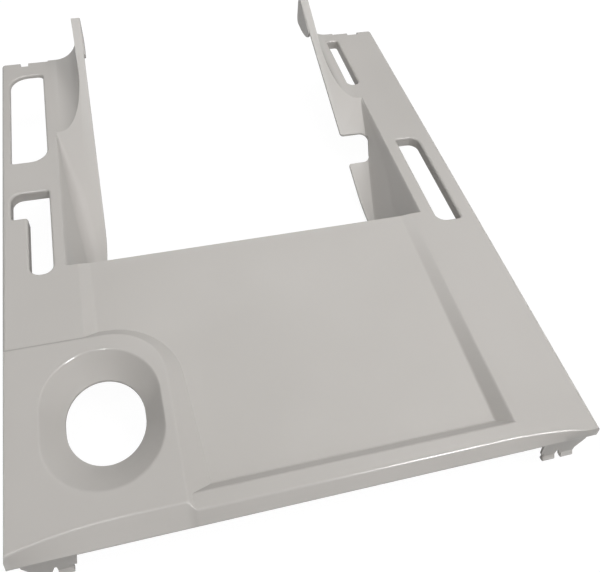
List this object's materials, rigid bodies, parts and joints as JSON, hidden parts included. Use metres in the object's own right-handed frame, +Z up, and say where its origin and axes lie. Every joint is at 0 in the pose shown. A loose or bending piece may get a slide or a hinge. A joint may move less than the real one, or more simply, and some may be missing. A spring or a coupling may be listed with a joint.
{
  "type": "mower rear cover",
  "caption": "One-piece moulded rear cover with a recessed panel, two slotted arms, inclined inner strips and an oval filler funnel.",
  "frame": {"origin": "middle of the footprint at the level of the two landings that the cover rests on", "axes": "+X to the right across the cover, +Y from the front lip towards the arm ends, +Z up"},
  "size_m": [0.62, 0.814, 0.148],
  "materials": {
    "moulded_plastic": "satin"
  },
  "bodies": {
    "root": {"rear_cover": "moulded_plastic"}
  },
  "joints": []
}
